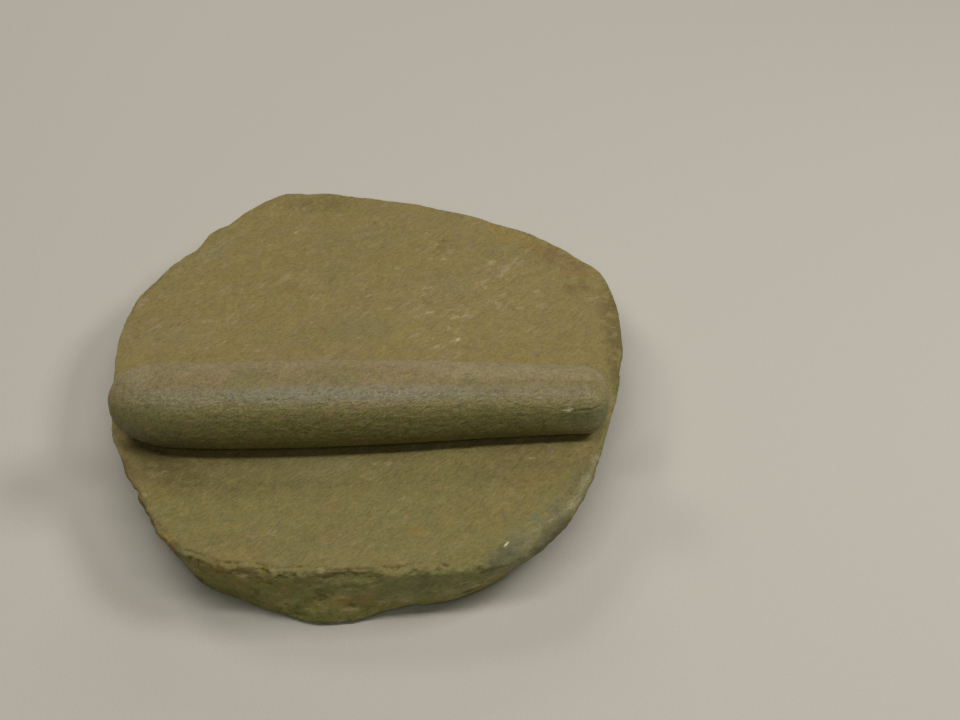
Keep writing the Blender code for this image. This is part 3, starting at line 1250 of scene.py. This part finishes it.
SLAB_DENTS = (
    # The broken front edge.
    Dent((-0.007, -0.182, 0.0365), (0.024, 0.007, 0.0040), 0.0020),
    Dent((0.018, -0.1785, 0.0405), (0.009, 0.0045, 0.0020), 0.0016),
    Dent((-0.0817, -0.154, 0.0416), (0.006, 0.002, 0.004), 0.0005, -8.0),
    # The back-left and left edges.
    Dent((-0.104, 0.122, 0.041), (0.013, 0.004, 0.005), 0.0007, 47.0),
    Dent((-0.122, 0.098, 0.041), (0.010, 0.004, 0.005), 0.0006, 50.0),
    Dent((-0.086, 0.139, 0.041), (0.010, 0.004, 0.005), 0.0006, 42.0),
    Dent((-0.155, 0.040, 0.040), (0.006, 0.010, 0.006), 0.0007, -10.0),
    # The arris at the front, and the rim to its left.
    Dent((-0.004, -0.1810, 0.0400), (0.022, 0.0050, 0.0060), 0.0026),
    Dent((-0.1325, -0.1095, 0.0385), (0.0050, 0.0040, 0.0060), 0.0010, -60.0),
    Dent((-0.1180, -0.1365, 0.0390), (0.0060, 0.0034, 0.0060), 0.0009, -58.0),
    Dent((-0.1060, -0.1535, 0.0390), (0.0034, 0.0040, 0.0060), 0.0012, -50.0),
    # The bevel at the front right: a scoop, the bumps of its ridge, and the grooves behind them.
    Dent((0.1070, -0.1525, 0.0335), (0.024, 0.0055, 0.0060), 0.0014, 49.0),
    Dent((0.1345, -0.0950, 0.0365), (0.010, 0.0024, 0.0060), -0.0008, 73.0),
    Dent((0.1290, -0.1100, 0.0365), (0.010, 0.0024, 0.0060), -0.0007, 69.0),
    Dent((0.1222, -0.1250, 0.0368), (0.010, 0.0024, 0.0060), -0.0009, 58.0),
    Dent((0.1140, -0.1360, 0.0375), (0.010, 0.0022, 0.0060), -0.0007, 48.0),
    Dent((0.1295, -0.0975, 0.0385), (0.010, 0.0030, 0.0060), 0.0008, 73.0),
    Dent((0.1240, -0.1120, 0.0390), (0.010, 0.0030, 0.0060), 0.0008, 68.0),
    Dent((0.1170, -0.1235, 0.0390), (0.010, 0.0030, 0.0060), 0.0008, 58.0),
    Dent((0.1080, -0.1330, 0.0395), (0.012, 0.0034, 0.0060), 0.0008, 46.0),
    # Struck scoops along the same bevel.
    Dent((0.092, -0.150, 0.037), (0.013, 0.006, 0.007), 0.0014, 38.0),
    Dent((0.108, -0.138, 0.036), (0.009, 0.006, 0.007), 0.0012, 45.0),
    Dent((0.121, -0.127, 0.035), (0.012, 0.006, 0.007), 0.0016, 48.0),
    Dent((0.131, -0.112, 0.035), (0.010, 0.006, 0.007), 0.0012, 57.0),
    Dent((0.141, -0.095, 0.034), (0.012, 0.006, 0.007), 0.0015, 62.0),
    Dent((0.148, -0.074, 0.035), (0.009, 0.005, 0.007), 0.0012, 68.0),
    Dent((0.118, -0.121, 0.039), (0.006, 0.003, 0.004), 0.0008, 40.0),
)

SLAB_STAINS = (
    # The worn face.
    Stain((0.0, -0.135, 0.041), (0.150, 0.055, 0.020), Tone.OLIVE, 0.60, softness=0.8),
    # Painted light that lifts the shade just in front of the middle of the handstone.
    Stain((-0.0420, -0.0935, 0.0405), (0.0450, 0.0090, 0.0080), Tone.CREAM, 0.16),
    # Painted shade just in front of both ends of the handstone.
    Stain((0.108, -0.098, 0.041), (0.050, 0.022, 0.020), Tone.UMBER, 0.32),
    Stain((-0.095, -0.098, 0.041), (0.055, 0.022, 0.020), Tone.UMBER, 0.34),
    # A faint pinker patch.
    Stain((0.060, 0.060, 0.041), (0.060, 0.045, 0.020), Tone.ROSE, 0.10, turn=20.0, softness=1.2),
    # The back and right edges.
    Stain((-0.037, 0.167, 0.042), (0.022, 0.011, 0.010), Tone.UMBER, 0.48),
    Stain((0.123, 0.098, 0.041), (0.028, 0.008, 0.010), Tone.IRON, 0.75, turn=-42.0),
    Stain((0.093, 0.124, 0.041), (0.026, 0.006, 0.010), Tone.OCHRE, 0.55, turn=-38.0),
    Stain((0.134, 0.067, 0.041), (0.010, 0.007, 0.010), Tone.UMBER, 0.50, turn=4.0),
    Stain((0.151, 0.047, 0.041), (0.006, 0.009, 0.012), Tone.IRON, 0.75),
    Stain((0.157, 0.005, 0.036), (0.008, 0.075, 0.020), Tone.UMBER, 0.75),
    # The back-left edge, and small patches on the worn face.
    Stain((-0.104, 0.121, 0.041), (0.020, 0.006, 0.010), Tone.FROST, 0.30, turn=47.0),
    Stain((-0.122, 0.030, 0.040), (0.026, 0.012, 0.010), Tone.ROSE, 0.12, turn=20.0),
    Stain((-0.113, -0.098, 0.040), (0.022, 0.010, 0.010), Tone.UMBER, 0.50, turn=-25.0),
    Stain((-0.004, 0.033, 0.040), (0.020, 0.014, 0.010), Tone.ASH, 0.35),
    Stain((0.0313, -0.1511, 0.0415), (0.006, 0.005, 0.010), Tone.OCHRE, 0.45),
    Stain((-0.0707, 0.1061, 0.0406), (0.005, 0.004, 0.008), Tone.OCHRE, 0.55),
    Stain((-0.052, 0.076, 0.0403), (0.009, 0.006, 0.008), Tone.IRON, 0.42),
    Stain((0.0476, 0.1206, 0.0409), (0.003, 0.003, 0.006), Tone.UMBER, 0.60),
    Stain((-0.0817, -0.154, 0.0416), (0.006, 0.0016, 0.004), Tone.UMBER, 0.6, turn=-8.0),
    Stain((0.1014, -0.109, 0.0407), (0.013, 0.008, 0.008), Tone.OCHRE, 0.18),
    # The left rim, the bevel at the front right, and the front flank.
    Stain((-0.132, -0.112, 0.040), (0.042, 0.012, 0.012), Tone.IRON, 0.40, turn=-58.0, only_on="rim"),
    Stain((-0.072, -0.170, 0.034), (0.034, 0.012, 0.008), Tone.OCHRE, 0.40, turn=-12.0),
    Stain((0.104, -0.142, 0.040), (0.034, 0.007, 0.012), Tone.ASH, 0.70, turn=46.0),
    Stain((0.123, -0.115, 0.040), (0.026, 0.006, 0.012), Tone.ASH, 0.50, turn=62.0),
    # Darker colour on the flank below the bevel, darkened further by painted shade.
    Stain((0.080, -0.167, 0.037), (0.016, 0.006, 0.008), Tone.SLATE, 0.60, turn=30.0),
    # Pale and ochre patches on the front flank.
    Stain((0.020, -0.178, 0.0155), (0.012, 0.010, 0.0050), Tone.CREAM, 0.60),
    Stain((-0.016, -0.180, 0.0320), (0.010, 0.010, 0.0030), Tone.CREAM, 0.40),
    Stain((0.056, -0.172, 0.0180), (0.016, 0.012, 0.0040), Tone.CREAM, 0.45, turn=25.0),
    Stain((-0.004, -0.181, 0.0180), (0.016, 0.010, 0.0030), Tone.OCHRE, 0.45),
)

SLAB_MARKS = (
    # Two bright chips.
    Stain((0.0815, -0.1612, 0.0402), (0.0005, 0.0021, 0.0040), Tone.BONE, 0.88, turn=-38.0),
    Stain((0.0564, 0.0188, 0.0398), (0.0018, 0.0012, 0.0040), Tone.BONE, 0.50, turn=35.0),
    # The bevel at the front right: darker colour on the flank below its ridge, darkened further by painted
    # shade, with rusty, grey, dark and pale spots.
    Stain((0.1070, -0.1522, 0.0340), (0.0200, 0.0046, 0.0100), Tone.SLATE, 0.75, turn=49.0, softness=0.5),
    Stain((0.1140, -0.1400, 0.0350), (0.0090, 0.0030, 0.0070), Tone.SLATE, 0.45, turn=50.0),
    Stain((0.1101, -0.1447, 0.0360), (0.0040, 0.0022, 0.0050), Tone.IRON, 0.30, turn=48.0),
    Stain((0.0820, -0.1690, 0.0360), (0.0120, 0.0050, 0.0050), Tone.SLATE, 0.65, turn=28.0),
    Stain((0.0900, -0.1610, 0.0385), (0.0070, 0.0040, 0.0050), Tone.ASH, 0.55, turn=40.0),
    Stain((0.1030, -0.1497, 0.0375), (0.0026, 0.0012, 0.0030), Tone.UMBER, 0.60, turn=48.0),
    Stain((0.0850, -0.1675, 0.0327), (0.0028, 0.0034, 0.0013), Tone.CREAM, 0.75, turn=40.0),
    # The left rim.
    Stain((-0.1400, -0.0900, 0.0395), (0.0130, 0.0026, 0.0060), Tone.UMBER, 0.60, turn=-66.0),
    Stain((-0.1310, -0.1130, 0.0395), (0.0120, 0.0026, 0.0060), Tone.UMBER, 0.70, turn=-62.0),
    Stain((-0.1180, -0.1370, 0.0395), (0.0130, 0.0020, 0.0060), Tone.UMBER, 0.45, turn=-60.0),
    Stain((-0.1045, -0.1560, 0.0390), (0.0050, 0.0026, 0.0060), Tone.UMBER, 0.60, turn=-52.0),
    Stain((-0.1350, -0.1020, 0.0395), (0.0070, 0.0018, 0.0060), Tone.IRON, 0.55, turn=-64.0),
    Stain((-0.1305, -0.1145, 0.0398), (0.0040, 0.0020, 0.0060), Tone.IRON, 0.60, turn=-50.0),
    Stain((-0.1270, -0.1130, 0.0400), (0.0022, 0.0014, 0.0040), Tone.CREAM, 0.35, turn=-60.0),
    Stain((-0.1110, -0.1490, 0.0398), (0.0050, 0.0034, 0.0060), Tone.OCHRE, 0.60, turn=-50.0),
    Stain((-0.1065, -0.1535, 0.0396), (0.0036, 0.0022, 0.0060), Tone.IRON, 0.75, turn=-50.0),
    # Painted shadow on the slab below the left end of the handstone.
    Stain((-0.1275, -0.0775, 0.0402), (0.0230, 0.0052, 0.0040), Tone.UMBER, 0.75, turn=-24.0),
    # The front flank and its arris, and the flank below the bevel.
    Stain((-0.0080, -0.1800, 0.0250), (0.0100, 0.0100, 0.0040), Tone.CREAM, 0.30),
    # Painted shade just below the front arris.
    Stain((-0.0145, -0.1800, 0.0332), (0.0090, 0.0080, 0.0034), Tone.UMBER, 0.34),
    Stain((0.0010, -0.1805, 0.0345), (0.0130, 0.0080, 0.0030), Tone.UMBER, 0.18),
    # Darker and paler patches along the arris further left.
    Stain((-0.0870, -0.1676, 0.0391), (0.0090, 0.0050, 0.0050), Tone.UMBER, 0.42, turn=-30.0),
    Stain((-0.0756, -0.1722, 0.0379), (0.0080, 0.0050, 0.0050), Tone.UMBER, 0.36, turn=-20.0),
    Stain((-0.0619, -0.1732, 0.0351), (0.0080, 0.0060, 0.0040), Tone.CREAM, 0.26, turn=-10.0),
    # Darker colour on the flank below the bevel, darkened further by painted shade.
    Stain((0.0925, -0.1650, 0.0350), (0.0050, 0.0040, 0.0030), Tone.SLATE, 0.45, turn=36.0),
    # Paler patches on the flank.
    Stain((0.0820, -0.1665, 0.0255), (0.0160, 0.0110, 0.0090), Tone.FROST, 0.44, turn=30.0),
    Stain((0.0360, -0.1780, 0.0265), (0.0300, 0.0120, 0.0100), Tone.FROST, 0.36),
)

SLAB_FLECKS = (
    # The worn face.
    Stain((0.0520, 0.0171, 0.0398), (0.0018, 0.0012, 0.0040), Tone.CREAM, 0.75),
    Stain((0.0508, 0.0300, 0.0399), (0.0013, 0.0030, 0.0040), Tone.CREAM, 0.69),
    Stain((0.0541, 0.0408, 0.0399), (0.0028, 0.0016, 0.0040), Tone.CREAM, 0.69, turn=35.0),
    Stain((0.0374, 0.0466, 0.0400), (0.0040, 0.0011, 0.0040), Tone.CREAM, 0.69, turn=20.0),
    Stain((0.0316, 0.0429, 0.0400), (0.0025, 0.0012, 0.0040), Tone.CREAM, 0.58, turn=20.0),
    Stain((0.0431, 0.0117, 0.0398), (0.0016, 0.0012, 0.0040), Tone.CREAM, 0.64),
    Stain((0.0122, 0.0519, 0.0400), (0.0015, 0.0013, 0.0040), Tone.CREAM, 0.64),
    Stain((0.0799, 0.0963, 0.0405), (0.0035, 0.0020, 0.0040), Tone.CREAM, 0.51, turn=30.0),
    Stain((0.0862, 0.0625, 0.0401), (0.0024, 0.0011, 0.0040), Tone.CREAM, 0.64, turn=20.0),
    Stain((0.0821, 0.0535, 0.0400), (0.0014, 0.0014, 0.0040), Tone.CREAM, 0.58),
    Stain((0.0961, 0.0488, 0.0400), (0.0018, 0.0012, 0.0040), Tone.CREAM, 0.58),
    Stain((0.1084, 0.0645, 0.0401), (0.0024, 0.0010, 0.0040), Tone.CREAM, 0.51, turn=25.0),
    Stain((0.1436, 0.0556, 0.0400), (0.0040, 0.0010, 0.0040), Tone.CREAM, 0.64, turn=22.0),
    Stain((0.0481, 0.1022, 0.0406), (0.0024, 0.0016, 0.0040), Tone.CREAM, 0.51, turn=30.0),
    Stain((0.0394, 0.1026, 0.0406), (0.0020, 0.0012, 0.0040), Tone.CREAM, 0.40),
    Stain((0.0176, 0.0931, 0.0405), (0.0018, 0.0012, 0.0040), Tone.CREAM, 0.51),
    Stain((-0.0522, 0.1356, 0.0412), (0.0018, 0.0016, 0.0040), Tone.CREAM, 0.40),
    Stain((-0.0761, 0.0594, 0.0401), (0.0026, 0.0010, 0.0040), Tone.CREAM, 0.51, turn=35.0),
    Stain((-0.0376, 0.0403, 0.0399), (0.0014, 0.0010, 0.0040), Tone.CREAM, 0.64),
    Stain((-0.1048, 0.0456, 0.0400), (0.0040, 0.0022, 0.0040), Tone.CREAM, 0.35),
    Stain((-0.0512, -0.1474, 0.0414), (0.0030, 0.0026, 0.0040), Tone.CREAM, 0.42),
    Stain((0.0146, -0.0931, 0.0405), (0.0024, 0.0014, 0.0040), Tone.CREAM, 0.58),
    Stain((0.0058, -0.0927, 0.0405), (0.0014, 0.0010, 0.0040), Tone.CREAM, 0.51),
    Stain((0.0975, -0.0918, 0.0404), (0.0026, 0.0008, 0.0040), Tone.CREAM, 0.69),
    Stain((0.0226, -0.1230, 0.0409), (0.0024, 0.0010, 0.0040), Tone.CREAM, 0.46, turn=45.0),
    Stain((0.0026, -0.1062, 0.0406), (0.0020, 0.0010, 0.0040), Tone.CREAM, 0.46, turn=40.0),
    # The front flank.
    Stain((0.0559, -0.1748, 0.0248), (0.0050, 0.0050, 0.0010), Tone.BONE, 0.45, turn=15.0),
    Stain((0.0613, -0.1698, 0.0158), (0.0050, 0.0050, 0.0009), Tone.BONE, 0.50, turn=25.0),
    Stain((0.0544, -0.1713, 0.0111), (0.0050, 0.0050, 0.0009), Tone.BONE, 0.45, turn=25.0),
    Stain((0.0389, -0.1769, 0.0213), (0.0030, 0.0050, 0.0009), Tone.CREAM, 0.70),
    Stain((0.0103, -0.1766, 0.0130), (0.0022, 0.0050, 0.0016), Tone.BONE, 0.45),
    Stain((0.0250, -0.1770, 0.0120), (0.0030, 0.0050, 0.0010), Tone.BONE, 0.45),
    Stain((-0.0217, -0.1775, 0.0403), (0.0022, 0.0030, 0.0016), Tone.CREAM, 0.50),
    Stain((-0.0100, -0.1810, 0.0118), (0.0030, 0.0050, 0.0009), Tone.CREAM, 0.70),
    Stain((-0.0040, -0.1800, 0.0280), (0.0040, 0.0050, 0.0008), Tone.CREAM, 0.70),
    # The ridge of the bevel: pale crumbs, lightened further by a painted highlight.
    Stain((0.1365, -0.0890, 0.0370), (0.0020, 0.0030, 0.0050), Tone.CREAM, 0.64, turn=-20.0),
    Stain((0.1345, -0.0950, 0.0360), (0.0075, 0.0016, 0.0040), Tone.FROST, 0.85, turn=73.0),
    Stain((0.1290, -0.1095, 0.0360), (0.0070, 0.0017, 0.0040), Tone.CREAM, 0.45, turn=69.0),
    Stain((0.1285, -0.1110, 0.0362), (0.0080, 0.0026, 0.0040), Tone.FROST, 0.70, turn=66.0),
    Stain((0.1322, -0.1125, 0.0335), (0.0060, 0.0012, 0.0040), Tone.FROST, 0.80, turn=62.0),
    Stain((0.1215, -0.1262, 0.0362), (0.0070, 0.0024, 0.0040), Tone.FROST, 0.95, turn=55.0),
    Stain((0.1200, -0.1290, 0.0365), (0.0026, 0.0014, 0.0030), Tone.CREAM, 0.60, turn=50.0),
    Stain((0.1145, -0.1352, 0.0370), (0.0050, 0.0014, 0.0040), Tone.FROST, 0.85, turn=46.0),
    Stain((0.1080, -0.1410, 0.0380), (0.0040, 0.0009, 0.0030), Tone.FROST, 0.80, turn=40.0),
    Stain((0.0985, -0.1490, 0.0385), (0.0050, 0.0009, 0.0030), Tone.FROST, 0.70, turn=42.0),
    Stain((0.0930, -0.1465, 0.0395), (0.0040, 0.0008, 0.0030), Tone.FROST, 0.60, turn=30.0),
)

HANDSTONE_DENTS = (
    # The crease near the right end: its chip, its groove and the scoop below it.
    Dent((0.1203, -0.0805, 0.0672), (0.0036, 0.0060, 0.0012), 0.0006),
    Dent((0.1310, -0.0805, 0.0658), (0.0125, 0.0080, 0.0011), 0.0005),
    Dent((0.1320, -0.0820, 0.0585), (0.0200, 0.0100, 0.0075), 0.0008),
)

HANDSTONE_STAINS = (
    # The crease and its chip: painted shadow in its groove, painted shade on the scoop below it, and the
    # pale chip.
    Stain((0.1300, -0.0800, 0.0660), (0.0150, 0.0060, 0.0006), Tone.UMBER, 0.70, softness=0.7),
    Stain((0.1320, -0.0820, 0.0590), (0.0180, 0.0100, 0.0070), Tone.MOSS, 0.45),
    Stain((0.1209, -0.0805, 0.0671), (0.0024, 0.0060, 0.0013), Tone.BONE, 0.95, softness=0.5),
    Stain((0.1178, -0.0805, 0.0667), (0.0022, 0.0060, 0.0004), Tone.CREAM, 0.70, softness=0.5),
    # The left end: paler colour with painted light on its shoulder, painted shade on its lower part, and a
    # pinker patch.
    Stain((-0.1180, -0.0800, 0.0800), (0.0260, 0.0110, 0.0048), Tone.FROST, 0.45),
    Stain((-0.1180, -0.0830, 0.0545), (0.0340, 0.0140, 0.0075), Tone.UMBER, 0.50),
    Stain((-0.1390, -0.0600, 0.0800), (0.0180, 0.0180, 0.0090), Tone.ROSE, 0.40),
)


def main() -> None:
    """Build the stones and the studio, and report each piece."""
    logging.basicConfig(level=logging.INFO, format="%(message)s")
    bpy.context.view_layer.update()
    slab = GrindingSlab(dents=SLAB_DENTS)
    slab_piece = slab.build()
    slab.settle(slab_piece, SlabStone(stains=SLAB_STAINS, flecks=SLAB_FLECKS, marks=SLAB_MARKS).material())
    handstone = Handstone(dents=HANDSTONE_DENTS)
    handstone_piece = handstone.build()
    handstone.settle(handstone_piece, HandstoneStone(stains=HANDSTONE_STAINS).material())
    for piece in (slab_piece, handstone_piece):
        LOG.info("%s: %d faces", piece.name, len(piece.data.polygons))
    Studio().build()


if __name__ == "__main__":
    main()
